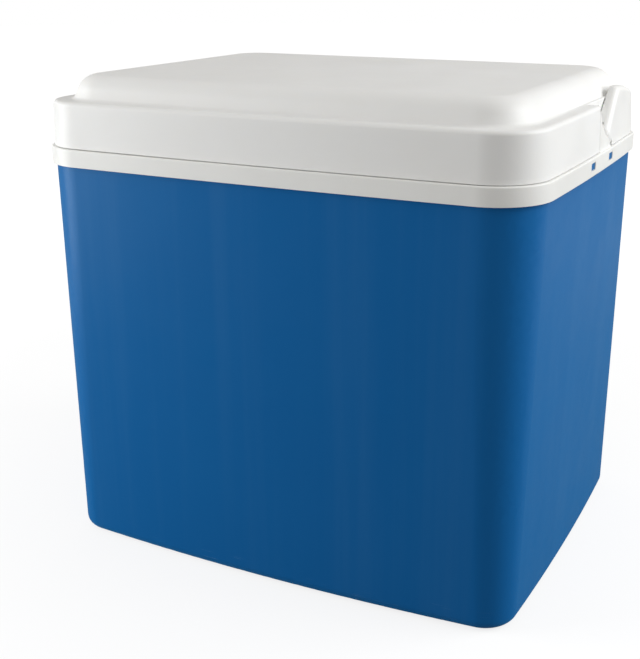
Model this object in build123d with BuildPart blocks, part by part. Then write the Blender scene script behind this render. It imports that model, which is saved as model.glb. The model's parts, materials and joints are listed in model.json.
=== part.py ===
from build123d import *
from math import cos, hypot, radians, sin, sqrt
import os

# A passive cool box: a tapered tub with a rim collar, a lift-off lid and a fold-back handle.
# X runs side to side, Y front to back and Z up. The origin is on the floor, under the middle.

# --- Tub, outside. Widths and depths are between the corners' square meeting points. ---
tub_width = 388.0           # at the rim's lower edge
tub_depth = 298.5
tub_height = 319.5          # top of the outer shell, hidden in the rim
rim_lap = 9.5               # how far the rim comes down over the shell
wall_draft = 4.2            # how far each wall leans in between the rim and the floor
corner_radius_top = 38.5
corner_radius_floor = 26.0
side_bow_top = 3.2          # outward bulge of the left and right walls
side_bow_floor = 3.7
front_bow_top = 3.1         # outward bulge of the front and back walls
front_bow_floor = 8.5
bottom_edge_radius = 9.0
foot_width = 26.0           # standing ring round the recessed underside
foot_recess = 2.0
foot_corner = 16.0

# --- Tub, layers ---
shell_wall = 2.4
foam_wall = 18.0
foam_floor = 20.0
liner_wall = 2.0
layer_gap = 0.25            # between one layer and the next
cavity_corner_top = 22.0
cavity_corner_floor = 14.0
cavity_floor_radius = 6.0

# --- Rim collar ---
rim_height = 13.0
rim_overhang = 2.9          # how far the rim stands out from the tub
rim_fit = 0.3               # between the rim and the outside of the tub
rim_deck = 2.5
rim_edge_radius = 1.0
window_middle = 6.5         # middle of each pair of snap windows, in Y
window_spacing = 51.5
window_length = 11.0
window_height = 5.5
window_rise = 6.9           # from the rim's lower edge to the windows' middle
tab_gap = 0.4               # round each snap tab in its window
tab_sink = 0.6              # how far a tab ends inside the rim's face

# --- Lid and handle, outside: both stand on the rim's plan and lean in together ---
lid_inset = 2.3             # in from the rim, at the rim's top
lid_draft = 0.045           # lean of the lid's outer face, per mm of height
lid_gap = 0.8               # seam between the rim and the lid's skirt
moving_gap = 0.5            # between the lid, the handle and the cradles
ledge_rise = 34.0           # from the rim's top to the ledge round the dome
ledge_edge_radius = 3.0
lid_wall = 2.4
side_end = 5.0              # where the wide front half of the lid stops, in Y
rear_block_overlap = 60.0
rear_edge_radius = 1.0
dome_height = 18.0
dome_side_step = 2.8        # ledge beside the dome, in from the handle
dome_rear_step = 5.6
dome_front_step = 12.8      # ledge in front of the dome, in from the rim's plan
dome_corner = 36.0
dome_run = 8.5              # how far the shoulder leans in
dome_top_radius = 17.0

# --- Lid, inside ---
seal_height = 2.0
seal_width = 6.0
seal_outset = 3.0           # from the mouth's edge
plug_depth = 28.0
plug_fit = 1.5
panel_wall = 2.0
plug_edge_radius = 3.0

# --- Handle: a bail that lies round the rear half of the lid ---
handle_lift = 0.4           # under the handle, over the rim
handle_wall = 8.2           # arms and crossbar at their ends, where they are thinnest
handle_inner_corner = 31.0
handle_draft = 0.07         # lean of the handle's outer face, per mm of height
crossbar_rise = 31.0        # from the rim's top to the crossbar's top
crossbar_lap = 6.5          # how far the crossbar's level top reaches in over the arms
arm_peak_y = 69.5
arm_rise = 41.5
arm_peak_radius = 8.0
arm_heel_radius = 30.0      # between the arm's slope and the crossbar
chin_radius = 7.0           # between the lug and the arm's front edge
handle_outer_radius = 5.0   # along the outside of its top and front
handle_inner_radius = 1.0
arm_slope_sag = 2.5         # bulge of the arm's top edge
notch_sag = 0.9             # bulge of the arm's front edge
pivot_y = 44.0
pivot_rise = 10.5           # from the rim's top to the pins
pin_radius = 3.5
pin_fit = 0.05              # running clearance round the pin, on the radius
pin_cover = 2.0             # what the arm leaves over the pin's outer end
pin_end_gap = 0.3
post_wall = 3.0             # round the pin
post_thickness = 4.6

# --- Cradles: the rim's horns in front of the handle's lugs ---
cradle_tip_rise = 8.0
cradle_bulge = 4.6          # bulge of the horn's rounded rear edge
cradle_chamfer = 1.5

# --- Frozen water packs ---
pack_length = 190.0
pack_width = 120.0
pack_thickness = 34.0
pack_corner_radius = 7.0
pack_edge_radius = 6.0
pack_gap = 1.5              # between a pack and the liner
pack_spacing = 4.0          # between the two packs of a long wall
groove_radius = 5.0
groove_depth = 2.0
groove_spacing = 46.0
filler_radius = 9.0
filler_inset = 24.0         # from the pack's side to the filler's axis
filler_depth = 12.0
filler_sink = 1.0
slot_length = 12.0
slot_width = 2.5

rim_bottom = tub_height - rim_lap
rim_top = rim_bottom + rim_height
deck_bottom = rim_top - rim_deck
ledge_height = rim_top + ledge_rise
lid_top = ledge_height + dome_height
pivot_z = rim_top + pivot_rise
crossbar_top = rim_top + crossbar_rise
arm_top = rim_top + arm_rise
cradle_tip_z = rim_top + cradle_tip_rise
skirt_bottom = rim_top + lid_gap
seal_top = rim_top + seal_height
plug_bottom = rim_top - plug_depth
handle_bottom = rim_top + handle_lift
handle_foot = handle_bottom - handle_outer_radius
shell_floor = foot_recess + shell_wall
foam_bottom = shell_floor + layer_gap
liner_bottom = foam_bottom + foam_floor + layer_gap
cavity_floor = liner_bottom + liner_wall
cavity_inset = shell_wall + layer_gap + foam_wall + layer_gap + liner_wall
upper_half_width = tub_width / 2 + rim_overhang - lid_inset
upper_half_depth = tub_depth / 2 + rim_overhang - lid_inset
handle_inner_side = upper_half_width - handle_wall
handle_inner_rear = upper_half_depth - handle_wall
crossbar_front = handle_inner_rear - crossbar_lap
lug_radius = pivot_z - handle_bottom
post_radius = pin_radius + post_wall
post_outer = handle_inner_side + post_thickness
pocket_floor = post_outer + moving_gap
pocket_radius = hypot(post_radius, pivot_z - rim_top) + moving_gap
pocket_corner = (pivot_y + post_radius + moving_gap, pivot_z + post_radius + moving_gap)
pin_end = upper_half_width + side_bow_top - handle_draft * pivot_rise - pin_cover
tab_reach = tub_width / 2 + side_bow_top + rim_overhang - tab_sink
window_places = [
    (window_middle - window_spacing / 2, rim_bottom + window_rise),
    (window_middle + window_spacing / 2, rim_bottom + window_rise),
]
far = tub_width             # long enough to cut right through the box


def bowed_outline(width, depth, corner, side_bow, front_bow):
    """A rounded rectangle whose four sides bulge outwards."""
    x, y = width / 2, depth / 2
    with BuildSketch() as outline:
        with BuildLine():
            ThreePointArc((-x, -y), (0, -y - front_bow), (x, -y))
            ThreePointArc((x, -y), (x + side_bow, 0), (x, y))
            ThreePointArc((x, y), (0, y + front_bow), (-x, y))
            ThreePointArc((-x, y), (-x - side_bow, 0), (-x, -y))
        make_face()
        fillet(outline.vertices(), corner)
    return outline.sketch


def between(floor_value, top_value, height):
    """A size that changes evenly from the floor to the rim's lower edge."""
    return floor_value + (top_value - floor_value) * height / rim_bottom


def wall_outline(height, inset, corner_floor, corner_top):
    """The tub's plan at a height, with its sides moved in by an inset."""
    lean = between(wall_draft, 0, height) + inset
    return bowed_outline(
        tub_width - 2 * lean,
        tub_depth - 2 * lean,
        between(corner_floor, corner_top, height),
        between(side_bow_floor, side_bow_top, height),
        between(front_bow_floor, front_bow_top, height),
    )


def tub_outline(height, inset):
    """The outer shell's plan at a height, moved in by an inset."""
    return wall_outline(
        height, inset, corner_radius_floor - inset, corner_radius_top - inset
    )


def cavity_outline(height, outset):
    """The inner cavity's plan at a height, moved out by an outset."""
    return wall_outline(
        height,
        cavity_inset - outset,
        cavity_corner_floor + outset,
        cavity_corner_top + outset,
    )


def rim_outline(inset):
    """The rim's outer plan, moved in by an inset. The lid and the handle follow it."""
    return bowed_outline(
        tub_width + 2 * (rim_overhang - inset),
        tub_depth + 2 * (rim_overhang - inset),
        corner_radius_top + rim_overhang - inset,
        side_bow_top,
        front_bow_top,
    )


def leaning_outline(draft, height, inset):
    """The plan of an outer face that leans in over the rim, at a height, moved in by an inset."""
    return rim_outline(lid_inset + draft * (height - rim_top) + inset)


def handle_ring(inset):
    """The straight-sided plan inside the handle, moved in by an inset. The lid's rear half fits it."""
    width = 2 * (handle_inner_side - inset)
    front = -rear_block_overlap
    with BuildSketch() as ring:
        with Locations((0, front)):
            Rectangle(width, handle_inner_rear - inset - front, align=(Align.CENTER, Align.MIN))
        fillet(ring.vertices().group_by(Axis.Y)[-1], handle_inner_corner - inset)
    return ring.sketch


def handle_sweep(inset):
    """The space that the handle's inside sweeps as it swings up, grown inwards by an inset."""
    with BuildPart() as reach:
        with BuildSketch(Plane.XY.offset(pivot_z)):
            add(handle_ring(inset))
            with Locations((0, pivot_y)):
                Rectangle(2 * far, far, align=(Align.CENTER, Align.MAX), mode=Mode.SUBTRACT)
        revolve(axis=Axis((0, pivot_y, pivot_z), (1, 0, 0)), revolution_arc=90)
    with BuildPart() as swept:
        with BuildSketch(Plane.XY.offset(pivot_z)):
            with Locations((0, pivot_y)):
                Rectangle(2 * far, far, align=(Align.CENTER, Align.MIN))
        extrude(amount=far)
        add(reach.part, mode=Mode.SUBTRACT)
    return swept.part


def around_pivot(radius, angle):
    """A point at a radius and an angle from the pivot, in the side view."""
    return (pivot_y + radius * cos(radians(angle)), pivot_z + radius * sin(radians(angle)))


def cradle_profile():
    """Side view of a cradle: a rounded horn that ends in a seat round the handle's lug."""
    seat = lug_radius + moving_gap
    front = side_end + moving_gap
    tip = (pivot_y - sqrt(seat**2 - (pivot_z - cradle_tip_z) ** 2), cradle_tip_z)
    heel = around_pivot(seat, 248)
    with BuildSketch() as profile:
        with BuildLine():
            Line((heel[0], deck_bottom), (front, deck_bottom))
            Line((front, deck_bottom), (front, ledge_height))
            SagittaArc((front, ledge_height), tip, -cradle_bulge)
            ThreePointArc(tip, around_pivot(seat, 220), heel)
            Line(heel, (heel[0], deck_bottom))
        make_face()
    return profile.sketch


def post_profile():
    """Side view of a pivot post: round over the pin, straight down to the deck."""
    with BuildSketch() as profile:
        with Locations((pivot_y, pivot_z)):
            Circle(post_radius)
            Rectangle(2 * post_radius, pivot_z - deck_bottom, align=(Align.CENTER, Align.MAX))
    return profile.sketch


def handle_profile():
    """Side view of the handle down to its foot: round lug, sloping front and top, crossbar."""
    peak = (arm_peak_y, arm_top)
    chin = around_pivot(lug_radius, 168)
    with BuildSketch() as profile:
        with BuildLine():
            ThreePointArc((pivot_y, handle_bottom), around_pivot(lug_radius, 225), chin)
            SagittaArc(chin, peak, notch_sag)
            SagittaArc(peak, (crossbar_front, crossbar_top), arm_slope_sag)
            Polyline(
                (crossbar_front, crossbar_top),
                (far, crossbar_top),
                (far, handle_foot),
                (pivot_y, handle_foot),
                (pivot_y, handle_bottom),
            )
        make_face()
        for corner, radius in (
            (chin, chin_radius),
            (peak, arm_peak_radius),
            ((crossbar_front, crossbar_top), arm_heel_radius),
        ):
            fillet(profile.vertices().sort_by_distance(corner)[0], radius)
    return profile.sketch


def lid_plan(height, inset):
    """The lid's plan at a height: wide in front, and inside the handle behind."""
    with BuildSketch() as plan:
        add(leaning_outline(lid_draft, height, inset))
        with Locations((0, side_end - inset)):
            Rectangle(2 * far, far, align=(Align.CENTER, Align.MIN), mode=Mode.SUBTRACT)
        add(handle_ring(moving_gap + inset))
    return plan.sketch


def dome_outline(inset):
    """The dome's plan, bowed in front and straight behind, moved in by an inset."""
    side = handle_inner_side - dome_side_step - inset
    front = dome_front_step + inset - upper_half_depth
    rear = handle_inner_rear - dome_rear_step - inset
    with BuildSketch() as outline:
        with BuildLine():
            ThreePointArc((-side, front), (0, front - front_bow_top), (side, front))
            Polyline((side, front), (side, rear), (-side, rear), (-side, front))
        make_face()
        fillet(outline.vertices(), dome_corner - inset)
    return outline.sketch


def lid_form(inset, bottom):
    """The lid's whole solid form from a height up, moved in all round by an inset."""
    ledge = ledge_height - inset
    with BuildPart() as rear:
        with BuildSketch(Plane.XY.offset(bottom)):
            add(handle_ring(moving_gap + inset))
        extrude(amount=ledge - bottom)
        add(handle_sweep(moving_gap + inset), mode=Mode.SUBTRACT)
        fillet(highest_edges(rear), rear_edge_radius)
    with BuildPart() as form:
        with BuildSketch(Plane.XY.offset(bottom)):
            add(leaning_outline(lid_draft, bottom, inset))
        with BuildSketch(Plane.XY.offset(ledge)):
            add(leaning_outline(lid_draft, ledge, inset))
        loft()
        fillet(highest_edges(form), ledge_edge_radius)
        with BuildSketch(Plane.XY.offset(bottom)):
            with Locations((0, side_end - inset)):
                Rectangle(2 * far, far, align=(Align.CENTER, Align.MIN))
        extrude(amount=lid_top - bottom, mode=Mode.SUBTRACT)
        add(rear.part)
    with BuildPart() as dome:
        with BuildSketch(Plane.XY.offset(ledge - ledge_edge_radius)):
            add(dome_outline(inset))
        extrude(amount=ledge_edge_radius)
        with BuildSketch(Plane.XY.offset(ledge)):
            add(dome_outline(inset))
        with BuildSketch(Plane.XY.offset(lid_top - inset)):
            add(dome_outline(inset + dome_run))
        loft()
        fillet(highest_edges(dome), dome_top_radius - inset)
    with BuildPart() as whole:
        add(form.part)
        add(dome.part)
    return whole.part


def lowest_edges(part):
    """The ring of edges round a part's lowest face."""
    return part.faces().sort_by(Axis.Z)[0].edges()


def highest_edges(part):
    """The ring of edges round a part's highest face."""
    return part.faces().sort_by(Axis.Z)[-1].edges()


def upper_edges(part, height):
    """The edges that run along a ring's top and front, above a height."""
    walls = part.faces().filter_by(
        lambda face: abs(face.normal_at().Z) < 0.1 and face.bounding_box().size.Z > lug_radius
    )
    tops = (part.faces() - walls).filter_by_position(Axis.Z, height, far)
    return tops.edges().filter_by(Axis.X, reverse=True)


def outer_edges(edges):
    """Those of some edges that lie along the handle's or the cradles' outer face."""
    return edges.filter_by(
        lambda edge: abs(edge.center().X) > post_outer or edge.center().Y > handle_inner_rear + post_thickness
    )


def cavity_form():
    """The space inside the liner, up to the rim's deck."""
    with BuildPart() as cavity:
        with BuildSketch(Plane.XY.offset(cavity_floor)):
            add(cavity_outline(cavity_floor, 0))
        with BuildSketch(Plane.XY.offset(deck_bottom)):
            add(cavity_outline(deck_bottom, 0))
        loft()
        fillet(lowest_edges(cavity), cavity_floor_radius)
    return cavity.part


def cradle_horns():
    """Both cradles: horns of the lid's section, hollowed round the handle's lugs."""
    with BuildPart() as cradles:
        with BuildSketch(Plane.XY.offset(deck_bottom)):
            add(leaning_outline(lid_draft, deck_bottom, 0))
        with BuildSketch(Plane.XY.offset(ledge_height)):
            add(leaning_outline(lid_draft, ledge_height, 0))
        loft()
        with BuildSketch(Plane.XY.offset(deck_bottom)):
            add(handle_ring(0))
        extrude(amount=ledge_height - deck_bottom, mode=Mode.SUBTRACT)
        with BuildSketch(Plane.YZ):
            add(cradle_profile())
        extrude(amount=far, both=True, mode=Mode.INTERSECT)
        chamfer(outer_edges(upper_edges(cradles, cradle_tip_z)), cradle_chamfer)
    return cradles.part


def save(builder, name):
    """Labels a finished piece and writes it to its own file."""
    builder.part.label = name
    export_step(builder.part, f"parts/{name}.step")


os.makedirs("parts", exist_ok=True)

# --- Outer shell: tapered tub on a standing ring, with snap tabs on both sides ---
with BuildPart() as outer_shell:
    with BuildSketch(Plane.XY):
        add(tub_outline(0, 0))
    with BuildSketch(Plane.XY.offset(tub_height)):
        add(tub_outline(tub_height, 0))
    loft()
    fillet(lowest_edges(outer_shell), bottom_edge_radius)
    with BuildSketch(Plane.XY):
        add(wall_outline(0, foot_width, foot_corner, foot_corner))
    extrude(amount=foot_recess, mode=Mode.SUBTRACT)
    # The tabs stand out of the shell's sides and end flush with the rim.
    with BuildSketch(Plane.YZ):
        with Locations(*window_places):
            Rectangle(window_length - 2 * tab_gap, window_height - 2 * tab_gap)
    extrude(amount=tab_reach, both=True)
    with BuildSketch(Plane.XY.offset(shell_floor)):
        add(tub_outline(shell_floor, shell_wall))
    with BuildSketch(Plane.XY.offset(tub_height)):
        add(tub_outline(tub_height, shell_wall))
    loft(mode=Mode.SUBTRACT)
save(outer_shell, "outer_shell")

# --- Insulation: foam tub between the shell and the liner ---
with BuildPart() as body_insulation:
    with BuildSketch(Plane.XY.offset(foam_bottom)):
        add(tub_outline(foam_bottom, shell_wall + layer_gap))
    with BuildSketch(Plane.XY.offset(tub_height)):
        add(tub_outline(tub_height, shell_wall + layer_gap))
    loft()
    with BuildSketch(Plane.XY.offset(foam_bottom + foam_floor)):
        add(cavity_outline(foam_bottom + foam_floor, liner_wall + layer_gap))
    with BuildSketch(Plane.XY.offset(tub_height)):
        add(cavity_outline(tub_height, liner_wall + layer_gap))
    loft(mode=Mode.SUBTRACT)
save(body_insulation, "body_insulation")

# --- Inner liner: the white tub that holds the load ---
with BuildPart() as inner_liner:
    with BuildSketch(Plane.XY.offset(liner_bottom)):
        add(cavity_outline(liner_bottom, liner_wall))
    with BuildSketch(Plane.XY.offset(deck_bottom)):
        add(cavity_outline(deck_bottom, liner_wall))
    loft()
    fillet(lowest_edges(inner_liner), cavity_floor_radius + liner_wall)
    add(cavity_form(), mode=Mode.SUBTRACT)
save(inner_liner, "inner_liner")

# --- Rim collar: skirt, deck, snap windows, handle cradles and pivot posts ---
with BuildPart() as rim_collar:
    with BuildSketch(Plane.XY.offset(rim_bottom)):
        add(rim_outline(0))
    extrude(amount=rim_height)
    fillet(highest_edges(rim_collar), rim_edge_radius)
    with BuildSketch(Plane.XY.offset(rim_bottom)):
        add(tub_outline(tub_height, -rim_fit))
    extrude(amount=rim_height - rim_deck, mode=Mode.SUBTRACT)
    with BuildSketch(Plane.XY.offset(deck_bottom)):
        add(cavity_outline(deck_bottom, 0))
    extrude(amount=rim_deck, mode=Mode.SUBTRACT)
    with BuildSketch(Plane.YZ):
        with Locations(*window_places):
            Rectangle(window_length, window_height)
    extrude(amount=far, both=True, mode=Mode.SUBTRACT)
    add(cradle_horns())
    for side in (-1, 1):
        with BuildSketch(Plane.YZ.offset(side * handle_inner_side)):
            add(post_profile())
            with Locations((pivot_y, pivot_z)):
                Circle(pin_radius, mode=Mode.SUBTRACT)
        extrude(amount=side * post_thickness)
save(rim_collar, "rim_collar")

# --- Pivot pins: pressed into the posts, running in the handle's lugs ---
for side, name in ((-1, "pivot_pin_left"), (1, "pivot_pin_right")):
    with BuildPart() as pivot_pin:
        with BuildSketch(Plane.YZ.offset(side * handle_inner_side)):
            with Locations((pivot_y, pivot_z)):
                Circle(pin_radius)
        extrude(amount=side * (pin_end - handle_inner_side))
    save(pivot_pin, name)

# --- Carry handle: rounded on top and in front, with a sharp edge along its underside ---
with BuildPart() as carry_handle:
    with BuildSketch(Plane.XY.offset(handle_foot)):
        add(leaning_outline(handle_draft, handle_foot, 0))
    with BuildSketch(Plane.XY.offset(arm_top)):
        add(leaning_outline(handle_draft, arm_top, 0))
    loft()
    with BuildSketch(Plane.XY.offset(handle_foot)):
        add(handle_ring(0))
    extrude(amount=arm_top - handle_foot, mode=Mode.SUBTRACT)
    with BuildSketch(Plane.YZ):
        add(handle_profile())
    extrude(amount=far, both=True, mode=Mode.INTERSECT)
    fillet(outer_edges(upper_edges(carry_handle, handle_bottom)), handle_outer_radius)
    inner = upper_edges(carry_handle, handle_bottom) - outer_edges(carry_handle.edges())
    fillet(inner, handle_inner_radius)
    split(bisect_by=Plane.XY.offset(handle_bottom), keep=Keep.TOP)
    for side in (-1, 1):
        with BuildSketch(Plane.YZ.offset(side * pocket_floor)):
            with Locations((pivot_y, pivot_z)):
                Circle(pocket_radius)
            with Locations(pocket_corner):
                Rectangle(far, far, align=(Align.MAX, Align.MAX), mode=Mode.INTERSECT)
        extrude(amount=-side * (post_thickness + 2 * moving_gap), mode=Mode.SUBTRACT)
        with BuildSketch(Plane.YZ.offset(side * pocket_floor)):
            with Locations((pivot_y, pivot_z)):
                Circle(pin_radius + pin_fit)
        extrude(amount=side * (pin_end + pin_end_gap - pocket_floor), mode=Mode.SUBTRACT)
save(carry_handle, "carry_handle")

# --- Lid cover ---
with BuildPart() as lid_cover:
    add(lid_form(0, skirt_bottom))
    add(lid_form(lid_wall, skirt_bottom), mode=Mode.SUBTRACT)
save(lid_cover, "lid_cover")

# --- Lid inner panel: flange over the seal and hollow plug in the mouth ---
with BuildPart() as lid_inner_panel:
    with BuildSketch(Plane.XY.offset(seal_top)):
        add(lid_plan(seal_top, lid_wall + layer_gap))
    extrude(amount=panel_wall)
    with BuildSketch(Plane.XY.offset(plug_bottom)):
        add(cavity_outline(plug_bottom, -plug_fit))
    extrude(amount=seal_top - plug_bottom)
    fillet(lowest_edges(lid_inner_panel), plug_edge_radius)
    with BuildSketch(Plane.XY.offset(plug_bottom + panel_wall)):
        add(cavity_outline(plug_bottom, -plug_fit - panel_wall))
    extrude(amount=seal_top + panel_wall, mode=Mode.SUBTRACT)
save(lid_inner_panel, "lid_inner_panel")

# --- Lid insulation: foam in the plug and under the dome ---
with BuildPart() as lid_insulation:
    add(lid_form(lid_wall + layer_gap, seal_top + panel_wall))
    with BuildSketch(Plane.XY.offset(plug_bottom + panel_wall)):
        add(cavity_outline(plug_bottom, -plug_fit - panel_wall - layer_gap))
    extrude(amount=plug_depth + seal_height)
save(lid_insulation, "lid_insulation")

# --- Lid seal: soft ring between the rim's deck and the lid's panel ---
with BuildPart() as lid_seal:
    with BuildSketch(Plane.XY.offset(rim_top)):
        add(cavity_outline(deck_bottom, seal_outset + seal_width))
        add(cavity_outline(deck_bottom, seal_outset), mode=Mode.SUBTRACT)
    extrude(amount=seal_height)
save(lid_seal, "lid_seal")


# --- Frozen water packs: two on each long wall and one on each end wall ---
pack_y = tub_depth / 2 - wall_draft - cavity_inset - pack_gap - pack_thickness / 2
pack_end_x = tub_width / 2 - wall_draft - cavity_inset - pack_gap - pack_thickness / 2
pack_x = (pack_width + pack_spacing) / 2
packs = {
    "front_left": (-pack_x, -pack_y, (1, 0, 0)),
    "front_right": (pack_x, -pack_y, (1, 0, 0)),
    "rear_left": (-pack_x, pack_y, (-1, 0, 0)),
    "rear_right": (pack_x, pack_y, (-1, 0, 0)),
    "end_left": (-pack_end_x, 0, (0, -1, 0)),
    "end_right": (pack_end_x, 0, (0, 1, 0)),
}
for place, (x, y, along) in packs.items():
    foot = Plane(origin=(x, y, cavity_floor), x_dir=along, z_dir=(0, 0, 1))
    end = Plane(origin=foot.origin + foot.z_dir * pack_length / 2, x_dir=foot.y_dir, z_dir=foot.x_dir)
    filler_x = pack_width / 2 - filler_inset
    with BuildPart() as water_pack:
        with BuildSketch(foot):
            RectangleRounded(pack_width, pack_thickness, pack_corner_radius)
        extrude(amount=pack_length)
        fillet(highest_edges(water_pack) + lowest_edges(water_pack), pack_edge_radius)
        with BuildSketch(end):
            with GridLocations(
                pack_thickness + 2 * (groove_radius - groove_depth), groove_spacing, 2, 3
            ):
                Circle(groove_radius)
        extrude(amount=pack_width, both=True, mode=Mode.SUBTRACT)
        with BuildSketch(foot.offset(pack_length)):
            with Locations((filler_x, 0)):
                Circle(filler_radius)
        extrude(amount=-filler_depth, mode=Mode.SUBTRACT)
    save(water_pack, f"water_pack_{place}")
    with BuildPart() as filler_plug:
        with BuildSketch(foot.offset(pack_length - filler_depth)):
            with Locations((filler_x, 0)):
                Circle(filler_radius)
        extrude(amount=filler_depth - filler_sink)
        with BuildSketch(foot.offset(pack_length - filler_sink)):
            with Locations((filler_x, 0)):
                Rectangle(slot_length, slot_width)
        extrude(amount=-slot_width, mode=Mode.SUBTRACT)
    save(filler_plug, f"filler_plug_{place}")
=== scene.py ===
"""A passive cool box: finishes, a soft-edged lid skin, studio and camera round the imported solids."""

import json
import logging
import math
from dataclasses import dataclass
from enum import Enum
from typing import Iterable, Sequence

import bmesh
import bpy
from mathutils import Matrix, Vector

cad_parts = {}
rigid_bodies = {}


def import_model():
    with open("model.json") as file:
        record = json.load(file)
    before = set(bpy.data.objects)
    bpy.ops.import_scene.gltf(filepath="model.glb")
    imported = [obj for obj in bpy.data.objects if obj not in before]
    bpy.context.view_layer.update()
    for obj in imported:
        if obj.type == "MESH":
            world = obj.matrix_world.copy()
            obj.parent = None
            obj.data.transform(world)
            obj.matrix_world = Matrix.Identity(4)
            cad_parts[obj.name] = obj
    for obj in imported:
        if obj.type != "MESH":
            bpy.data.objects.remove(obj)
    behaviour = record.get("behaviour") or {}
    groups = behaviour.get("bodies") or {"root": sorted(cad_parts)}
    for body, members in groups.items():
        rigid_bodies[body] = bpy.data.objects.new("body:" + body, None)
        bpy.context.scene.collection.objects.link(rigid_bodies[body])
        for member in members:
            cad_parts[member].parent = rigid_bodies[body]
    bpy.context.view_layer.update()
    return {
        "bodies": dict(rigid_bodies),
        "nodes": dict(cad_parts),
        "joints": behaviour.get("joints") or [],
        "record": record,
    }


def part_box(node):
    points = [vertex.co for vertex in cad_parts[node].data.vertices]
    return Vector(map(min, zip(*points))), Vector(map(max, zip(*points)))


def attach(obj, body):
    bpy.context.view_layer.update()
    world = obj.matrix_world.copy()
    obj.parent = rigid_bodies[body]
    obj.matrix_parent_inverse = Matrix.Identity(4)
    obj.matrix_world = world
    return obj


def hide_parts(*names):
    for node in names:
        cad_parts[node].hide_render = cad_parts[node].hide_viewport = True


Colour = tuple[float, float, float]
Point = tuple[float, float, float]
Span = tuple[float, float]
Plan = list[tuple[float, float]]

MM = 0.001
WHITE = (1.0, 1.0, 1.0)
EVEN = (1.0, 1.0, 1.0)               # no stretch along any axis
LATTICE_TURN = (0.5, 0.7, 0.3)       # radians
WELD_DISTANCE = 0.002 * MM
SMOOTH_ANGLE = math.radians(28)      # edges of the solids that bend more than this stay sharp
FACE_WEIGHT = 80                     # of 100; above 50, large faces count for more in the shading

log = logging.getLogger("cool_box")


class CellMeasure(Enum):
    """What a pattern of cells measures."""

    CENTRE = "F1"                    # distance to the nearest cell's centre
    WALL = "DISTANCE_TO_EDGE"        # distance to the nearest wall between cells


@dataclass(frozen=True)
class Grain:
    """The size, detail and stretch of a cloudy noise."""

    scale: float                     # cells per metre
    detail: float = 3.0              # octaves of finer noise
    rough: float = 0.5               # strength of the finer octaves
    stretch: Point = EVEN            # how much denser the cells are along each axis


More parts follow.
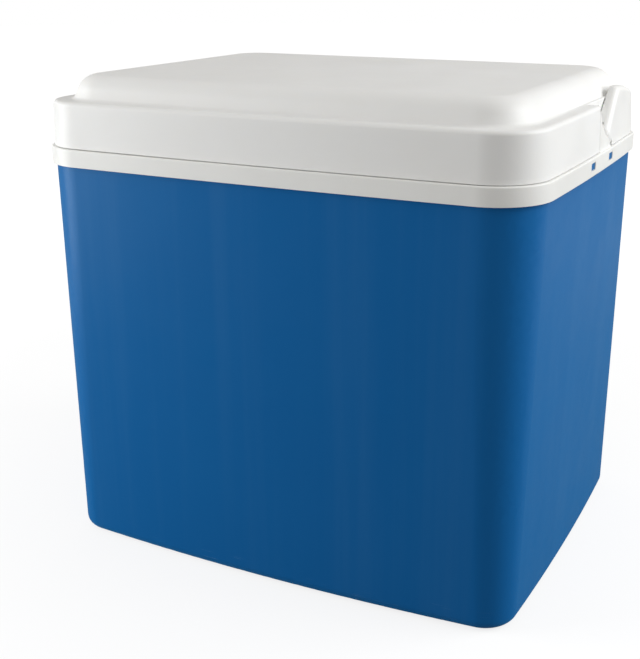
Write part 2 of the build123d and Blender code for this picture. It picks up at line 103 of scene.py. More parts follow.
class MaterialGraph:
    """A material's node tree, with one short method for each kind of node that the finishes use."""

    def __init__(self, name: str) -> None:
        """Starts an empty material with a Principled shader.

        Args:
            name: The material's name.
        """
        self.material = bpy.data.materials.new(name)
        self.material.use_nodes = True
        self.nodes = self.material.node_tree.nodes
        self.links = self.material.node_tree.links
        self.shader = self.nodes["Principled BSDF"]
        self.place = self.nodes.new("ShaderNodeTexCoord").outputs["Object"]

    def put(self, value: object, socket: bpy.types.NodeSocket) -> None:
        """Links an output to a socket, or sets the socket's own value.

        Args:
            value: An output socket, a number or a colour.
            socket: The input that takes it.
        """
        if isinstance(value, bpy.types.NodeSocket):
            self.links.new(value, socket)
        elif isinstance(value, tuple) and len(value) == 3 and socket.type == "RGBA":
            socket.default_value = (*value, 1.0)
        else:
            socket.default_value = value

    def stretched(self, scale: Point) -> bpy.types.NodeSocket:
        """Object coordinates, stretched, then turned so that no lattice plane lies along a flat face.

        Args:
            scale: The scale along each axis.

        Returns:
            The coordinates.
        """
        mapping = self.nodes.new("ShaderNodeMapping")
        mapping.inputs["Scale"].default_value = scale
        mapping.inputs["Rotation"].default_value = LATTICE_TURN
        self.links.new(self.place, mapping.inputs["Vector"])
        return mapping.outputs["Vector"]

    def noise(self, grain: Grain) -> bpy.types.NodeSocket:
        """A cloudy noise value from 0 to 1.

        Args:
            grain: The noise's size, detail and stretch.

        Returns:
            The noise value.
        """
        node = self.nodes.new("ShaderNodeTexNoise")
        node.inputs["Scale"].default_value = grain.scale
        node.inputs["Detail"].default_value = grain.detail
        node.inputs["Roughness"].default_value = grain.rough
        self.links.new(self.stretched(grain.stretch), node.inputs["Vector"])
        return node.outputs["Fac"]

    def cells(self, scale: float, measure: CellMeasure) -> bpy.types.NodeSocket:
        """The distance field of a pattern of cells.

        Args:
            scale: Cells per metre.
            measure: What the distance is taken to.

        Returns:
            The distance.
        """
        node = self.nodes.new("ShaderNodeTexVoronoi")
        node.feature = measure.value
        node.inputs["Scale"].default_value = scale
        self.links.new(self.stretched(EVEN), node.inputs["Vector"])
        return node.outputs["Distance"]

    def height(self) -> bpy.types.NodeSocket:
        """Finds the height above the floor.

        Returns:
            The height, in metres.
        """
        node = self.nodes.new("ShaderNodeSeparateXYZ")
        self.links.new(self.place, node.inputs["Vector"])
        return node.outputs["Z"]

    def band(self, value: bpy.types.NodeSocket, span: Span,
             ends: Span = (0.0, 1.0)) -> bpy.types.NodeSocket:
        """A value that goes smoothly from one end to the other while another crosses a span.

        Args:
            value: The value that crosses the span.
            span: Where the change starts and stops.
            ends: The result below the span and above it.

        Returns:
            The banded value.
        """
        node = self.nodes.new("ShaderNodeMapRange")
        node.interpolation_type = "SMOOTHSTEP"
        self.links.new(value, node.inputs["Value"])
        node.inputs["From Min"].default_value, node.inputs["From Max"].default_value = span
        node.inputs["To Min"].default_value, node.inputs["To Max"].default_value = ends
        return node.outputs["Result"]

    def combine(self, operation: str, first: object, second: object) -> bpy.types.NodeSocket:
        """Combines two values.

        Args:
            operation: The Math node's operation, such as ADD.
            first: A number or an output.
            second: A number or an output.

        Returns:
            The combined value.
        """
        node = self.nodes.new("ShaderNodeMath")
        node.operation = operation
        self.put(first, node.inputs[0])
        self.put(second, node.inputs[1])
        return node.outputs["Value"]

    def mix(self, share: object, first: object, second: object) -> bpy.types.NodeSocket:
        """A colour between two colours.

        Args:
            share: How much of the second colour shows, from 0 to 1.
            first: A colour or a colour output.
            second: A colour or a colour output.

        Returns:
            The mixed colour.
        """
        node = self.nodes.new("ShaderNodeMix")
        node.data_type = "RGBA"
        self.put(share, node.inputs["Factor"])
        self.put(first, node.inputs["A"])
        self.put(second, node.inputs["B"])
        return node.outputs["Result"]

    def relief(self, value: bpy.types.NodeSocket, depth: float,
               under: bpy.types.NodeSocket | None = None) -> bpy.types.NodeSocket:
        """A bumped normal.

        Args:
            value: The height field, from 0 to 1.
            depth: The height of the relief, in metres.
            under: A normal that this relief lies on, if any.

        Returns:
            The normal.
        """
        node = self.nodes.new("ShaderNodeBump")
        node.inputs["Distance"].default_value = depth
        self.links.new(value, node.inputs["Height"])
        if under is not None:
            self.links.new(under, node.inputs["Normal"])
        return node.outputs["Normal"]

    def set(self, **sockets: object) -> None:
        """Sets the shader's sockets, whose names are given with _ for a space."""
        for name, value in sockets.items():
            self.put(value, self.shader.inputs[name.replace("_", " ")])


@dataclass(frozen=True)
class MouldedPlastic:
    """A moulded plastic: a main colour that drifts a little, a fine relief and light wear.

    A span says between which noise values an effect comes in.
    """

    name: str
    colour: Colour
    drift_colour: Colour
    drift: float = 0.5                        # the most of the second colour that shows
    drift_grain: Grain = Grain(9.0, 4.0, 0.55)
    drift_span: Span = (0.3, 0.75)
    roughness: float = 0.36
    roughness_spread: float = 0.08
    cloud_grain: Grain = Grain(26.0, 5.0, 0.6)
    cloud_span: Span = (0.3, 0.7)
    rub_roughness: float = 0.05               # what fine rubbing adds
    rub_grain: Grain = Grain(1.0, 2.0, 0.5, (90.0, 700.0, 260.0))
    rub_span: Span = (0.55, 0.8)
    relief_depth: float = 0.04 * MM           # of the mould's orange peel
    peel_grain: Grain = Grain(900.0, 2.0, 0.4)
    wave_share: float = 6.0                   # the slow waves' depth, over the peel's
    wave_grain: Grain = Grain(22.0, 2.0, 0.4)
    refraction: float = 1.49
    specular: float = 0.5
    reflected: Colour = WHITE                 # colour of what the surface reflects head-on
    haze: float = 0.0                         # light that the skin scatters at a grazing angle
    haze_colour: Colour = WHITE
    glow: float = 0.0                         # light that enters the plastic and comes out near by
    glow_reach: float = 4.0 * MM
    glow_radius: Colour = (1.0, 0.9, 0.75)    # how far red, green and blue go, over the reach

    def material(self) -> bpy.types.Material:
        """Builds the finish.

        Returns:
            The material.
        """
        graph = MaterialGraph(self.name)
        graph.set(
            Base_Color=self.colour_of(graph),
            Roughness=self.roughness_of(graph),
            Normal=self.relief_of(graph),
            Specular_IOR_Level=self.specular,
            Specular_Tint=self.reflected,
            Sheen_Weight=self.haze,
            Sheen_Tint=self.haze_colour,
            IOR=self.refraction,
        )
        if self.glow:
            graph.set(Subsurface_Weight=self.glow, Subsurface_Scale=self.glow_reach)
            graph.shader.inputs["Subsurface Radius"].default_value = self.glow_radius
        return graph.material

    def colour_of(self, graph: MaterialGraph) -> bpy.types.NodeSocket:
        """The main colour, drifting slowly towards the second one."""
        share = graph.band(graph.noise(self.drift_grain), self.drift_span, (0.0, self.drift))
        return graph.mix(share, self.colour, self.drift_colour)

    def roughness_of(self, graph: MaterialGraph) -> bpy.types.NodeSocket:
        """The roughness, cloudy at the scale of a hand and streaked by fine rubbing.

        Args:
            graph: The material's graph.

        Returns:
            The roughness.
        """
        ends = (self.roughness - self.roughness_spread, self.roughness + self.roughness_spread)
        cloud = graph.band(graph.noise(self.cloud_grain), self.cloud_span, ends)
        rub = graph.band(graph.noise(self.rub_grain), self.rub_span, (0.0, self.rub_roughness))
        return graph.combine("ADD", cloud, rub)

    def relief_of(self, graph: MaterialGraph) -> bpy.types.NodeSocket:
        """The relief that the mould leaves: fine orange peel on slow waves."""
        waves = graph.relief(graph.noise(self.wave_grain), self.relief_depth * self.wave_share)
        return graph.relief(graph.noise(self.peel_grain), self.relief_depth, waves)


@dataclass(frozen=True)
class TubPlastic(MouldedPlastic):
    """The tub's blue plastic: faint upright flow streaks, and light scuffs round its lowest edge."""

    streak_colour: Colour = (0.02, 0.13, 0.36)
    streak_share: float = 0.45
    streak_grain: Grain = Grain(1.0, 4.0, 0.55, (42.0, 42.0, 1.2))
    streak_span: Span = (0.46, 0.72)
    scuff_colour: Colour = (0.22, 0.38, 0.58)
    scuff_roughness: float = 0.3
    scuff_rise: Span = (4.0 * MM, 8.0 * MM)      # heights between which the scuffs begin
    scuff_fall: Span = (12.0 * MM, 22.0 * MM)    # heights between which they end
    scratch_grain: Grain = Grain(1.0, 5.0, 0.62, (34.0, 34.0, 1500.0))
    scratch_span: Span = (0.60, 0.74)
    patch_grain: Grain = Grain(24.0, 2.0, 0.5)
    patch_span: Span = (0.46, 0.66)

    def colour_of(self, graph: MaterialGraph) -> bpy.types.NodeSocket:
        """The drifting colour with its streaks and scuffs.

        Args:
            graph: The material's graph.

        Returns:
            The colour.
        """
        base = MouldedPlastic.colour_of(self, graph)
        streaks = graph.band(graph.noise(self.streak_grain), self.streak_span, (0.0, self.streak_share))
        return graph.mix(self.scuffs(graph), graph.mix(streaks, base, self.streak_colour), self.scuff_colour)

    def roughness_of(self, graph: MaterialGraph) -> bpy.types.NodeSocket:
        """The plain roughness, raised where the tub is scuffed."""
        raised = graph.combine("MULTIPLY", self.scuffs(graph), self.scuff_roughness)
        return graph.combine("ADD", MouldedPlastic.roughness_of(self, graph), raised)

    def scuffs(self, graph: MaterialGraph) -> bpy.types.NodeSocket:
        """How scuffed the tub is: short level scratches in a band above the floor.

        Args:
            graph: The material's graph.

        Returns:
            The amount of scuffing, from 0 to 1.
        """
        height = graph.height()
        band = graph.combine(
            "MULTIPLY", graph.band(height, self.scuff_rise), graph.band(height, self.scuff_fall, (1.0, 0.0)),
        )
        scratches = graph.band(graph.noise(self.scratch_grain), self.scratch_span)
        patches = graph.band(graph.noise(self.patch_grain), self.patch_span)
        return graph.combine("MULTIPLY", graph.combine("MULTIPLY", scratches, patches), band)


@dataclass(frozen=True)
class BeadFoam:
    """Rigid foam: fused beads a few millimetres across, with dull dark lines between them."""

    name: str = "rigid_foam"
    colour: Colour = (0.80, 0.77, 0.66)
    pale_colour: Colour = (0.86, 0.84, 0.76)
    wall_colour: Colour = (0.60, 0.56, 0.45)
    tint_grain: Grain = Grain(60.0)
    beads: float = 240.0             # per metre
    wall_span: Span = (0.0, 0.12)
    wall_depth: float = 0.4 * MM
    roughness: Span = (0.75, 0.92)
    rough_grain: Grain = Grain(300.0)
    rough_span: Span = (0.3, 0.7)
    specular: float = 0.25

    def material(self) -> bpy.types.Material:
        """Builds the finish.

        Returns:
            The material.
        """
        graph = MaterialGraph(self.name)
        walls = graph.band(graph.cells(self.beads, CellMeasure.WALL), self.wall_span)
        tint = graph.mix(graph.noise(self.tint_grain), self.colour, self.pale_colour)
        graph.set(
            Base_Color=graph.mix(walls, self.wall_colour, tint),
            Roughness=graph.band(graph.noise(self.rough_grain), self.rough_span, self.roughness),
            Normal=graph.relief(walls, self.wall_depth),
            Specular_IOR_Level=self.specular,
        )
        return graph.material


@dataclass(frozen=True)
class SealFoam:
    """The soft grey sealing ring: closed cells with a skin."""

    name: str = "seal_foam"
    colour: Colour = (0.16, 0.165, 0.175)
    pore_colour: Colour = (0.10, 0.10, 0.11)
    pores: float = 1400.0            # per metre
    pore_span: Span = (0.1, 0.6)
    pore_depth: float = 0.1 * MM
    roughness: Span = (0.6, 0.8)
    rough_grain: Grain = Grain(200.0)
    rough_span: Span = (0.3, 0.7)
    specular: float = 0.3

    def material(self) -> bpy.types.Material:
        """Builds the finish.

        Returns:
            The material.
        """
        graph = MaterialGraph(self.name)
        pores = graph.band(graph.cells(self.pores, CellMeasure.CENTRE), self.pore_span)
        graph.set(
            Base_Color=graph.mix(pores, self.pore_colour, self.colour),
            Roughness=graph.band(graph.noise(self.rough_grain), self.rough_span, self.roughness),
            Normal=graph.relief(pores, self.pore_depth),
            Specular_IOR_Level=self.specular,
        )
        return graph.material


@dataclass(frozen=True)
class DrawnSteel:
    """The pins' steel, with drawing lines along the pin."""

    name: str = "drawn_steel"
    colour: Colour = (0.58, 0.58, 0.60)
    line_colour: Colour = (0.50, 0.50, 0.52)
    line_grain: Grain = Grain(1.0, 4.0, 0.6, (60.0, 4000.0, 4000.0))
    line_span: Span = (0.3, 0.7)
    line_depth: float = 0.02 * MM
    roughness: Span = (0.24, 0.4)

    def material(self) -> bpy.types.Material:
        """Builds the finish.

        Returns:
            The material.
        """
        graph = MaterialGraph(self.name)
        lines = graph.noise(self.line_grain)
        graph.set(
            Base_Color=graph.mix(graph.band(lines, self.line_span), self.line_colour, self.colour),
            Metallic=1.0,
            Roughness=graph.band(lines, self.line_span, self.roughness),
            Normal=graph.relief(lines, self.line_depth),
        )
        return graph.material


@dataclass(frozen=True)
class FrostedPack:
    """A frozen water pack: pale blue translucent plastic with white frost on it."""

    name: str = "frosted_pack"
    colour: Colour = (0.36, 0.60, 0.76)
    frost_colour: Colour = (0.86, 0.92, 0.95)
    frost_grain: Grain = Grain(70.0, 8.0, 0.72)
    frost_span: Span = (0.42, 0.66)
    frost_depth: float = 0.4 * MM
    crystal_grain: Grain = Grain(1800.0, 4.0, 0.7)
    crystal_depth: float = 0.1 * MM
    roughness: Span = (0.28, 0.85)
    glow: float = 0.35
    glow_reach: float = 6.0 * MM

    def material(self) -> bpy.types.Material:
        """Builds the finish.

        Returns:
            The material.
        """
        graph = MaterialGraph(self.name)
        frost = graph.noise(self.frost_grain)
        crystals = graph.noise(self.crystal_grain)
        graph.set(
            Base_Color=graph.mix(graph.band(frost, self.frost_span), self.colour, self.frost_colour),
            Roughness=graph.band(frost, self.frost_span, self.roughness),
            Normal=graph.relief(crystals, self.crystal_depth, graph.relief(frost, self.frost_depth)),
            Subsurface_Weight=self.glow,
            Subsurface_Scale=self.glow_reach,
        )
        return graph.material


@dataclass(frozen=True)
class BowedPlan:
    """A rounded rectangle seen from above, with a bulge in each side. All sizes are in metres."""

    half_width: float
    front: float                 # Y of the front side's ends
    rear: float                  # Y of the rear side's ends
    corner: float
    side_bow: float
    front_bow: float
    rear_bow: float

    def rims(self) -> list[tuple[Vector, float]]:
        """Finds the arcs of the four sides.

        Returns:
            The centre and radius of each side's arc: right, rear, left, front.
        """
        middle, deep = (self.front + self.rear) / 2, (self.rear - self.front) / 2
        side = self.arc(deep, self.side_bow)
        rear = self.arc(self.half_width, self.rear_bow)
        front = self.arc(self.half_width, self.front_bow)
        right = self.half_width + self.side_bow - side
        return [
            (Vector((right, middle)), side),
            (Vector((0.0, self.rear + self.rear_bow - rear)), rear),
            (Vector((-right, middle)), side),
            (Vector((0.0, self.front - self.front_bow + front)), front),
        ]

    @staticmethod
    def arc(half_chord: float, bow: float) -> float:
        """The radius of an arc over a chord, from how far it bulges."""
        return (half_chord * half_chord + bow * bow) / (2 * bow)

    def corner_centre(self, one: tuple[Vector, float], two: tuple[Vector, float],
                      near: Vector) -> Vector:
        """Finds the centre of the corner that touches two sides' arcs from inside.

        Args:
            one: The first side's centre and radius.
            two: The second side's centre and radius.
            near: A point close to the corner, which tells it from the one across.

        Returns:
            The corner's centre.
        """
        r_one, r_two = one[1] - self.corner, two[1] - self.corner
        gap = two[0] - one[0]
        along = (gap.length_squared + r_one * r_one - r_two * r_two) / (2 * gap.length)
        across = math.sqrt(max(r_one * r_one - along * along, 0.0))
        foot = one[0] + gap.normalized() * along
        turn = Vector((-gap.y, gap.x)).normalized() * across
        return min(foot + turn, foot - turn, key=lambda place: (place - near).length)

    def outline(self, side_steps: int, corner_steps: int) -> list[tuple[Vector, Vector]]:
        """The plan's points and outward directions, counter-clockwise from the right side's front end.

        Args:
            side_steps: Steps along each side.
            corner_steps: Steps round each corner.

        Returns:
            Pairs of a point and its outward direction.
        """
        rims = self.rims()
        signs = [(1, 1), (-1, 1), (-1, -1), (1, -1)]
        centres = []
        for index, (sign_x, sign_y) in enumerate(signs):
            near = Vector((sign_x * self.half_width, self.rear if sign_y > 0 else self.front))
            centres.append(self.corner_centre(rims[index], rims[(index + 1) % 4], near))
        result: list[tuple[Vector, Vector]] = []
        for index in range(4):
            centre, radius = rims[index]
            start = (centres[index - 1] - centre).normalized()
            end = (centres[index] - centre).normalized()
            result += self.sweep(centre, radius, start, end, side_steps)
            following = (centres[index] - rims[(index + 1) % 4][0]).normalized()
            result += self.sweep(centres[index], self.corner, end, following, corner_steps)
        return result

    @staticmethod
    def sweep(centre: Vector, radius: float, start: Vector, end: Vector,
              steps: int) -> list[tuple[Vector, Vector]]:
        """Lays points along an arc, without the last one.

        Args:
            centre: The arc's centre.
            radius: Its radius.
            start: The direction in which it starts.
            end: The direction in which it ends.
            steps: How many points it gets.

        Returns:
            Pairs of a point and its outward direction.
        """
        first = math.atan2(start.y, start.x)
        turn = math.remainder(math.atan2(end.y, end.x) - first, 2 * math.pi)
        spots = []
        for step in range(steps):
            angle = first + turn * step / steps
            out = Vector((math.cos(angle), math.sin(angle)))
            spots.append((centre + out * radius, out))
        return spots


def smooth_cad(node: bpy.types.Object) -> None:
    """Joins a solid's faces for shading, so that rounded edges run into flat walls without a crease.

    Args:
        node: The solid's node.
    """
    weld = node.modifiers.new("weld", "WELD")
    weld.merge_threshold = WELD_DISTANCE
    split = node.modifiers.new("split", "EDGE_SPLIT")
    split.split_angle = SMOOTH_ANGLE
    node.modifiers.new("normals", "WEIGHTED_NORMAL").weight = FACE_WEIGHT
    for polygon in node.data.polygons:
        polygon.use_smooth = True


def dress(frame: dict, names: Iterable[str], material: bpy.types.Material) -> None:
    """Gives solids a finish and smooth shading.

    Args:
        frame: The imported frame.
        names: The solids' nodes.
        material: The finish.
    """
    for name in names:
        node = frame["nodes"][name]
        node.data.materials.clear()
        node.data.materials.append(material)
        smooth_cad(node)
        log.info("dressed %s with %s", name, material.name)


@dataclass(frozen=True)
class SoftLamp:
    """A rectangular soft lamp."""

    name: str
    place: Point
    aim: Point
    size: tuple[float, float]
    power: float                     # watts
    colour: Colour = (0.97, 0.99, 1.0)

    def build(self) -> None:
        """Adds the lamp to the scene, turned to its aim."""
        data = bpy.data.lights.new(self.name, "AREA")
        data.shape = "RECTANGLE"
        data.size, data.size_y = self.size
        data.energy = self.power
        data.color = self.colour
        lamp = bpy.data.objects.new(self.name, data)
        lamp.location = self.place
        towards = Vector(self.aim) - Vector(self.place)
        lamp.rotation_euler = towards.to_track_quat("-Z", "Y").to_euler()
        bpy.context.scene.collection.objects.link(lamp)


@dataclass
class Studio:
    """A white studio with two soft lamps: one high on the right, one low in front on the left."""

    camera_place: Point = (0.3863, -0.7916, 0.4550)
    camera_turn: Point = (71.627, 0.0, 25.867)     # degrees
    focal_length: float = 59.85                    # mm
    sensor_width: float = 36.0                     # mm
    shift: tuple[float, float] = (-0.0544, -0.0048)
    room_colour: Colour = (1.0, 0.975, 0.945)
    room_strength: float = 0.50
    floor_near: Colour = (0.22, 0.22, 0.22)        # round the object
    floor_far: Colour = (0.50, 0.50, 0.50)
    floor_change: Span = (0.5, 1.4)                # metres from the middle
    floor_glow: float = 0.80                       # what the camera sees on top of the floor's own light
    floor_roughness: Span = (0.85, 0.95)
    floor_grain: Grain = Grain(1.5, 2.0)
    floor_span: Span = (0.3, 0.7)                  # noise values between which the roughness changes
    floor_radius: float = 8.0
    floor_sides: int = 96
    lamps: tuple[SoftLamp, ...] = (
        SoftLamp("right_softbox", (1.20, 0.34, 0.86), (0.0, 0.0, 0.2), (1.0, 1.0), 14.5),
        SoftLamp("left_softbox", (-1.00, -0.62, 0.40), (0.0, 0.0, 0.15), (0.7, 0.9), 10.5),
    )

    def build(self) -> None:
        """Adds the camera, the room, the floor and the lamps."""
        scene = bpy.context.scene
        scene.view_settings.view_transform = "Standard"
        self.add_camera(scene)
        self.add_room(scene)
        self.add_floor()
        for lamp in self.lamps:
            lamp.build()

    def add_camera(self, scene: bpy.types.Scene) -> None:
        """Adds the camera.

        Args:
            scene: The scene that looks through it.
        """
        data = bpy.data.cameras.new("camera")
        data.lens = self.focal_length
        data.sensor_width = self.sensor_width
        data.shift_x, data.shift_y = self.shift
        camera = bpy.data.objects.new("camera", data)
        camera.location = self.camera_place
        camera.rotation_euler = [math.radians(angle) for angle in self.camera_turn]
        scene.collection.objects.link(camera)
        scene.camera = camera

    def add_room(self, scene: bpy.types.Scene) -> None:
        """Adds a soft, even room light that looks plain white behind the object.

        Args:
            scene: The scene that takes the world.
        """
        world = bpy.data.worlds.new("room")
        world.use_nodes = True
        nodes, links = world.node_tree.nodes, world.node_tree.links
        light = nodes["Background"]
        light.inputs["Color"].default_value = (*self.room_colour, 1.0)
        light.inputs["Strength"].default_value = self.room_strength
        white = nodes.new("ShaderNodeBackground")
        white.inputs["Color"].default_value = (*WHITE, 1.0)
        mix = nodes.new("ShaderNodeMixShader")
        rays = nodes.new("ShaderNodeLightPath")
        links.new(rays.outputs["Is Camera Ray"], mix.inputs["Fac"])
        links.new(light.outputs["Background"], mix.inputs[1])
        links.new(white.outputs["Background"], mix.inputs[2])
        links.new(mix.outputs["Shader"], nodes["World Output"].inputs["Surface"])
        scene.world = world

    def add_floor(self) -> None:
        """Adds the floor. It looks white, and keeps the object's soft shadow."""
        mesh = bmesh.new()
        bmesh.ops.create_circle(mesh, cap_ends=True, segments=self.floor_sides, radius=self.floor_radius)
        data = bpy.data.meshes.new("floor")
        mesh.to_mesh(data)
        mesh.free()
        floor = bpy.data.objects.new("floor", data)
        bpy.context.scene.collection.objects.link(floor)
        graph = MaterialGraph("floor_paper")
        distance = graph.nodes.new("ShaderNodeVectorMath")
        distance.operation = "LENGTH"
        graph.links.new(graph.place, distance.inputs[0])
        share = graph.band(distance.outputs["Value"], self.floor_change)
        rays = graph.nodes.new("ShaderNodeLightPath")
        graph.set(
            Base_Color=graph.mix(share, self.floor_near, self.floor_far),
            Roughness=graph.band(graph.noise(self.floor_grain), self.floor_span, self.floor_roughness),
            Specular_IOR_Level=0.0,
            Emission_Color=WHITE,
            Emission_Strength=graph.combine("MULTIPLY", rays.outputs["Is Camera Ray"], self.floor_glow),
        )
        data.materials.append(graph.material)


@dataclass
class Tub:
    """The blue tub: outer shell, foam and liner."""

    shell: TubPlastic = TubPlastic(
        "tub_blue", (0.006, 0.108, 0.335), (0.006, 0.116, 0.350),
        roughness=0.32, roughness_spread=0.03, relief_depth=0.01 * MM,
        specular=0.17, reflected=(0.45, 0.80, 1.0), haze=0.5, haze_colour=(0.02, 0.43, 1.0),
    )
    liner: MouldedPlastic = MouldedPlastic(
        "liner_white", (0.84, 0.84, 0.83), (0.79, 0.80, 0.78), roughness=0.4, glow=0.08,
    )
    foam: BeadFoam = BeadFoam()

    def dress(self, frame: dict) -> None:
        """Gives the tub's solids their finishes.

        Args:
            frame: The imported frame.
        """
        dress(frame, ["outer_shell"], self.shell.material())
        dress(frame, ["inner_liner"], self.liner.material())
        dress(frame, ["body_insulation"], self.foam.material())


@dataclass
class RimCollar:
    """The white collar round the tub's mouth, with the handle's pins."""

    plastic: MouldedPlastic = MouldedPlastic(
        "rim_white", (0.86, 0.86, 0.84), (0.82, 0.815, 0.785), roughness=0.4, glow=0.1,
    )
    pin: DrawnSteel = DrawnSteel()

    def dress(self, frame: dict) -> None:
        """Gives the collar and the pins their finishes.

        Args:
            frame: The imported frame.
        """
        dress(frame, ["rim_collar"], self.plastic.material())
        pins = [name for name in sorted(frame["nodes"]) if "pin" in name.split("_")]
        dress(frame, pins, self.pin.material())


@dataclass
class Handle:
    """The carrying handle, folded down round the lid's rear half."""

    plastic: MouldedPlastic = MouldedPlastic(
        "handle_white", (0.86, 0.86, 0.85), (0.82, 0.82, 0.80), roughness=0.38, glow=0.1,
    )

    def dress(self, frame: dict) -> None:
        """Gives the handle its finish.

        Args:
            frame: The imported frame.
        """
        dress(frame, ["carry_handle"], self.plastic.material())


@dataclass
class WaterPacks:
    """The six frozen water packs round the walls, each with its filler plug."""

    pack: FrostedPack = FrostedPack()
    plug: MouldedPlastic = MouldedPlastic("plug_white", (0.78, 0.79, 0.80), (0.70, 0.72, 0.74))

    def dress(self, frame: dict) -> None:
        """Gives the packs and the plugs their finishes.

        Args:
            frame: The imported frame.
        """
        names = sorted(frame["nodes"])
        dress(frame, [name for name in names if name.startswith("water_pack")], self.pack.material())
        dress(frame, [name for name in names if name.startswith("filler_plug")], self.plug.material())


@dataclass(frozen=True)
class LidLevel:
    """One ring of the lid's walls: its height and how far it is drawn in, in front and behind."""

    front_z: float
    front_round: float
    rear_z: float
    rear_round: float


@dataclass
class Lid:
    """The lift-off lid: a moulded cover with a domed top, its foam, its inner panel and its seal.

    The cover's skin is modelled here, with a soft cove round the dome's foot. It is a closed shell:
    an outer and an inner surface, built in the same way and joined at the skirt's foot.
    Sizes are in metres.
    """

    plastic: MouldedPlastic = MouldedPlastic(
        "lid_white", (0.86, 0.86, 0.85), (0.825, 0.82, 0.80),
        roughness=0.44, relief_depth=0.03 * MM, specular=0.38, glow=0.1,
    )
    panel: MouldedPlastic = MouldedPlastic("panel_white", (0.78, 0.78, 0.76), (0.73, 0.73, 0.70))
    foam: BeadFoam = BeadFoam("lid_foam")
    seal: SealFoam = SealFoam()
    wall: float = 2.4 * MM
    skirt_drop: float = 0.45 * MM        # how far the skirt hangs into the seam under the solid's edge
    rim_top: float = 323.0 * MM
    half_width: float = 194.6 * MM       # of the front half, at the rim's top
    half_depth: float = 149.85 * MM
    corner: float = 39.1 * MM
    side_bow: float = 3.2 * MM
    front_bow: float = 3.1 * MM
    draft: float = 0.045                 # lean of the front half's skirt
    side_end: float = 5.0 * MM           # where the front half stops, in Y
    rear_half_width: float = 185.9 * MM
    rear_depth: float = 141.15 * MM
    rear_corner: float = 30.5 * MM
    ledge_radius: float = 3.0 * MM       # along the front half's top edge
    rear_radius: float = 1.0 * MM        # along the rear half's top edge
    lip_radius: float = 0.4 * MM         # along the skirt's lower edge
    dome_height: float = 18.0 * MM
    dome_half_width: float = 183.6 * MM
    dome_front: float = 137.05 * MM
    dome_rear: float = 136.05 * MM
    dome_corner: float = 36.0 * MM
    dome_run: float = 8.5 * MM
    dome_top_radius: float = 17.0 * MM
    dome_bow: float = 0.01 * MM          # of its sides and rear, which are all but straight
    cove_front: float = 4.0 * MM         # radius of the cove at the dome's foot, in front
    cove_rear: float = 1.2 * MM
    cove_fade: Span = (-60.0 * MM, -4.0 * MM)      # where the cove shrinks, in Y
    sharp_angle: float = math.radians(32)          # edges of the skin that bend more than this stay sharp
    side_steps: int = 40
    corner_steps: int = 16
    lip_steps: int = 3
    wall_steps: int = 8
    edge_steps: int = 6
    dome_steps: int = 14

    def dress(self, frame: dict) -> None:
        """Builds the cover's skin and gives every piece of the lid its finish.

        Args:
            frame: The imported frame.
        """
        dress(frame, ["lid_inner_panel"], self.panel.material())
        dress(frame, ["lid_insulation"], self.foam.material())
        dress(frame, ["lid_seal"], self.seal.material())
        low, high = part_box("lid_cover")
        pivot = next(joint["pos_m"] for joint in frame["joints"] if joint["name"] == "handle_swing")
        skin = self.build_skin(low.z - self.skirt_drop, high.z, Vector(pivot))
        skin.data.materials.append(self.plastic.material())
        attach(skin, "lid")
        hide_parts("lid_cover")
        log.info("built %s with %d faces", skin.name, len(skin.data.polygons))

    def build_skin(self, foot: float, top: float, pivot: Vector) -> bpy.types.Object:
        """Builds the cover as one closed mesh.

        Args:
            foot: Height of the skirt's lower edge.
            top: Height of the dome's top.
            pivot: A point on the handle's axis, which the rear half keeps clear of.

        Returns:
            The cover.
        """
        mesh = bmesh.new()
        outer = self.surface(mesh, 0.0, foot, top, pivot)
        inner = self.surface(mesh, self.wall, foot, top, pivot)
        self.stitch(mesh, inner, outer)
        bmesh.ops.recalc_face_normals(mesh, faces=mesh.faces)
        data = bpy.data.meshes.new("lid_cover_skin")
        mesh.to_mesh(data)
        mesh.free()
        for polygon in data.polygons:
            polygon.use_smooth = True
        data.set_sharp_from_angle(angle=self.sharp_angle)
        skin = bpy.data.objects.new("lid_cover_skin", data)
        bpy.context.scene.collection.objects.link(skin)
        normals = skin.modifiers.new("normals", "WEIGHTED_NORMAL")
        normals.keep_sharp = True
        return skin

    def surface(self, mesh: bmesh.types.BMesh, inset: float, foot: float, top: float,
                pivot: Vector) -> list[bmesh.types.BMVert]:
        """Adds one of the cover's two surfaces, from the skirt's foot to the dome's top.

        Args:
            mesh: The mesh that takes it.
            inset: How far it lies inside the outer face.
            foot: Height of the skirt's lower edge.
            top: Height of the dome's top, outside.
            pivot: A point on the handle's axis.

        Returns:
            Its lowest ring.
        """
        ledge = top - self.dome_height - inset
        rings = [self.ring(mesh, pivot, inset, level) for level in self.levels(foot, ledge, inset)]
        dome = self.dome_rings(mesh, ledge, inset)
        for lower, upper in [*zip(rings, rings[1:]), *zip(dome, dome[1:])]:
            self.stitch(mesh, lower, upper)
        mesh.faces.new(dome[-1])
        borders = self.loop(mesh, rings[-1]) + self.loop(mesh, dome[0])
        bmesh.ops.triangle_fill(mesh, edges=borders, use_beauty=True)
        return rings[0]

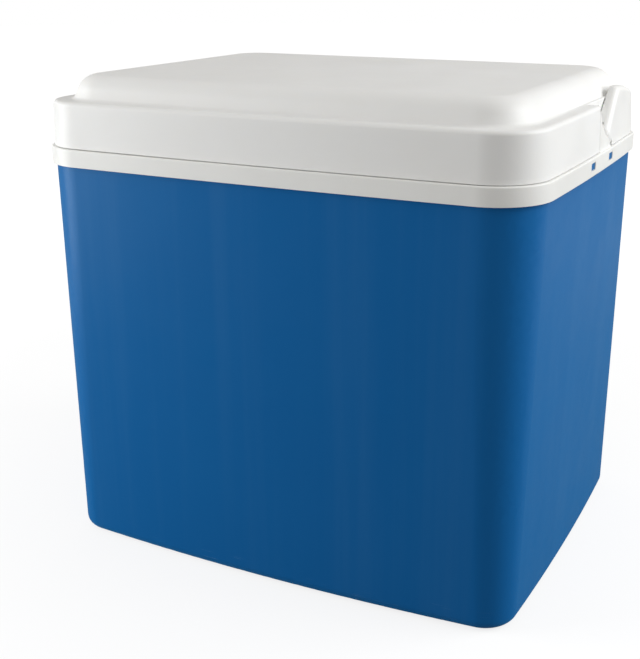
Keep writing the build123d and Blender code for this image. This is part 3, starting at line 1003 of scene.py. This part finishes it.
    def levels(self, foot: float, ledge: float, inset: float) -> list[LidLevel]:
        """Where each ring of the walls lies, from the foot to the ledge.

        Args:
            foot: Height of the lowest ring.
            ledge: Height of the ledge round the dome.
            inset: How far the surface lies inside the outer face.

        Returns:
            The levels, lowest first.
        """
        lip = 0.0 if inset else self.lip_radius
        found = []
        for step in range(self.lip_steps if lip else 0):
            angle = math.pi / 2 * step / self.lip_steps
            low, depth = foot + lip * (1 - math.cos(angle)), lip * (1 - math.sin(angle))
            found.append(LidLevel(low, depth, low, depth))
        front_top, rear_top = ledge - self.ledge_radius, ledge - self.rear_radius
        for step in range(self.wall_steps + 1):
            share = step / self.wall_steps
            front_z, rear_z = (foot + lip + (end - foot - lip) * share for end in (front_top, rear_top))
            found.append(LidLevel(front_z, 0.0, rear_z, 0.0))
        for step in range(1, self.edge_steps + 1):
            angle = math.pi / 2 * step / self.edge_steps
            up, across = math.sin(angle), 1 - math.cos(angle)
            found.append(LidLevel(
                front_top + self.ledge_radius * up, self.ledge_radius * across,
                rear_top + self.rear_radius * up, self.rear_radius * across,
            ))
        return found

    def ring(self, mesh: bmesh.types.BMesh, pivot: Vector, inset: float,
             level: LidLevel) -> list[bmesh.types.BMVert]:
        """Adds one ring of the walls: the wide front half, a step, and the narrow rear half.

        Args:
            mesh: The mesh that takes it.
            pivot: A point on the handle's axis.
            inset: How far the surface lies inside the outer face.
            level: The ring's heights and rounding.

        Returns:
            The ring's vertices, counter-clockwise from above.
        """
        step_y = self.side_end - inset
        front = self.front_points(level.front_z, inset + level.front_round, step_y)
        rear = self.rear_points(level.rear_z, inset + level.rear_round, step_y, pivot)
        places = [(*spot, level.front_z) for spot in front] + [(*spot, level.rear_z) for spot in rear]
        return [mesh.verts.new(place) for place in places]

    def front_points(self, height: float, inset: float, step_y: float) -> Plan:
        """Finds the front half's plan, from the left step round the front to the right step.

        Args:
            height: Height of the ring.
            inset: How far it lies inside the outer face.
            step_y: Where the front half stops, in Y.

        Returns:
            The plan's points.
        """
        lean = self.draft * (height - self.rim_top) + inset
        deep = self.half_depth - lean
        plan = BowedPlan(
            self.half_width - lean, -deep, deep, self.corner - lean,
            self.side_bow, self.front_bow, self.front_bow,
        )
        block = self.side_steps + self.corner_steps
        outline = [point for point, _ in plan.outline(self.side_steps, self.corner_steps)]
        half = [tuple(point) for point in (*outline[3 * block + self.side_steps // 2:], outline[0])]
        centre, radius = plan.rims()[0]
        start = outline[0].y
        for step in range(1, self.side_steps + 1):
            y = start + (step_y - start) * step / self.side_steps
            half.append((centre.x + math.sqrt(radius * radius - (y - centre.y) ** 2), y))
        return [(-x, y) for x, y in reversed(half[1:])] + half

    def rear_points(self, height: float, inset: float, step_y: float, pivot: Vector) -> Plan:
        """Finds the rear half's plan, from the right step round the back to the left step.

        Args:
            height: Height of the ring.
            inset: How far it lies inside the outer face.
            step_y: Where the rear half starts, in Y.
            pivot: A point on the handle's axis.

        Returns:
            The plan's points.
        """
        width, depth, corner = (
            self.rear_half_width - inset, self.rear_depth - inset, self.rear_corner - inset,
        )
        rise = max(height - pivot.z, 0.0)

        def cleared(y: float) -> float:
            """A depth drawn in to where the handle's swing leaves room."""
            return pivot.y + math.sqrt((y - pivot.y) ** 2 - rise * rise)

        bend = []
        for step in range(self.corner_steps + 1):
            angle = math.pi / 2 * step / self.corner_steps
            x = width - corner + corner * math.cos(angle)
            bend.append((x, cleared(depth - corner + corner * math.sin(angle))))
        start = bend[0][1]
        side = [
            (width, step_y + (start - step_y) * step / self.side_steps)
            for step in range(self.side_steps)
        ]
        back = [
            (bend[-1][0] * (1 - 2 * step / self.side_steps), bend[-1][1])
            for step in range(1, self.side_steps // 2 + 1)
        ]
        half = side + bend + back
        return half + [(-x, y) for x, y in reversed(half[:-1])]

    def dome_rings(self, mesh: bmesh.types.BMesh, ledge: float,
                   inset: float) -> list[list[bmesh.types.BMVert]]:
        """Adds the dome's rings, from the cove's outer edge to the flat top.

        Args:
            mesh: The mesh that takes them.
            ledge: Height of the ledge.
            inset: How far the surface lies inside the outer face.

        Returns:
            The rings, lowest first.
        """
        plan = BowedPlan(
            self.dome_half_width - inset, inset - self.dome_front, self.dome_rear - inset,
            self.dome_corner - inset, self.dome_bow, self.front_bow, self.dome_bow,
        )
        outline = plan.outline(self.side_steps, self.corner_steps)
        profiles = [self.dome_profile(self.cove_radius(point.y), inset) for point, _ in outline]
        rings = []
        for level in zip(*profiles):
            rings.append([
                mesh.verts.new((*(point + out * reach), ledge + rise))
                for (point, out), (reach, rise) in zip(outline, level)
            ])
        return rings

    def cove_radius(self, y: float) -> float:
        """Finds the cove's radius: large in front, and small beside the handle.

        Args:
            y: A place along the lid, in Y.

        Returns:
            The radius.
        """
        start, end = self.cove_fade
        share = min(max((y - start) / (end - start), 0.0), 1.0)
        share = share * share * (3 - 2 * share)      # slow at both ends
        return self.cove_front + (self.cove_rear - self.cove_front) * share

    def dome_profile(self, cove: float, inset: float) -> Plan:
        """The dome's section, from the cove's outer edge up to the flat top.

        Args:
            cove: The cove's radius.
            inset: How far the surface lies inside the outer face.

        Returns:
            Points as how far out from the dome's plan and how high over the ledge they are.
        """
        slope = math.atan2(self.dome_height, self.dome_run)
        foot = cove * math.tan(slope / 2)
        section = []
        for step in range(self.edge_steps + 1):
            angle = -math.pi / 2 - slope * step / self.edge_steps
            section.append((foot + cove * math.cos(angle), cove + cove * math.sin(angle)))
        top_radius = self.dome_top_radius - inset
        length = math.hypot(self.dome_height, self.dome_run) - top_radius * math.tan(slope / 2)
        start = (-length * math.cos(slope), length * math.sin(slope))
        section.append(tuple((a + b) / 2 for a, b in zip(section[-1], start)))
        centre = (start[0] - top_radius * math.sin(slope), start[1] - top_radius * math.cos(slope))
        for step in range(self.dome_steps + 1):
            angle = math.pi / 2 - slope * (1 - step / self.dome_steps)
            section.append((
                centre[0] + top_radius * math.cos(angle), centre[1] + top_radius * math.sin(angle),
            ))
        return section

    @staticmethod
    def stitch(mesh: bmesh.types.BMesh, lower: Sequence[bmesh.types.BMVert],
               upper: Sequence[bmesh.types.BMVert]) -> None:
        """Joins two rings of the same length with four-sided faces.

        Args:
            mesh: The mesh that takes the faces.
            lower: The lower ring.
            upper: The upper ring.
        """
        for index, corner in enumerate(lower):
            mesh.faces.new((lower[index - 1], corner, upper[index], upper[index - 1]))

    @staticmethod
    def loop(mesh: bmesh.types.BMesh, ring: Sequence[bmesh.types.BMVert]) -> list[bmesh.types.BMEdge]:
        """The edges of a closed ring."""
        return [mesh.edges.get((ring[index - 1], corner)) for index, corner in enumerate(ring)]


def main() -> None:
    """Builds everything in order."""
    logging.basicConfig(level=logging.INFO, format="%(name)s: %(message)s")
    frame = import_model()
    studio = Studio()
    studio.build()
    for part in (Tub(), RimCollar(), Lid(), Handle(), WaterPacks()):
        part.dress(frame)


if __name__ == "__main__":
    main()
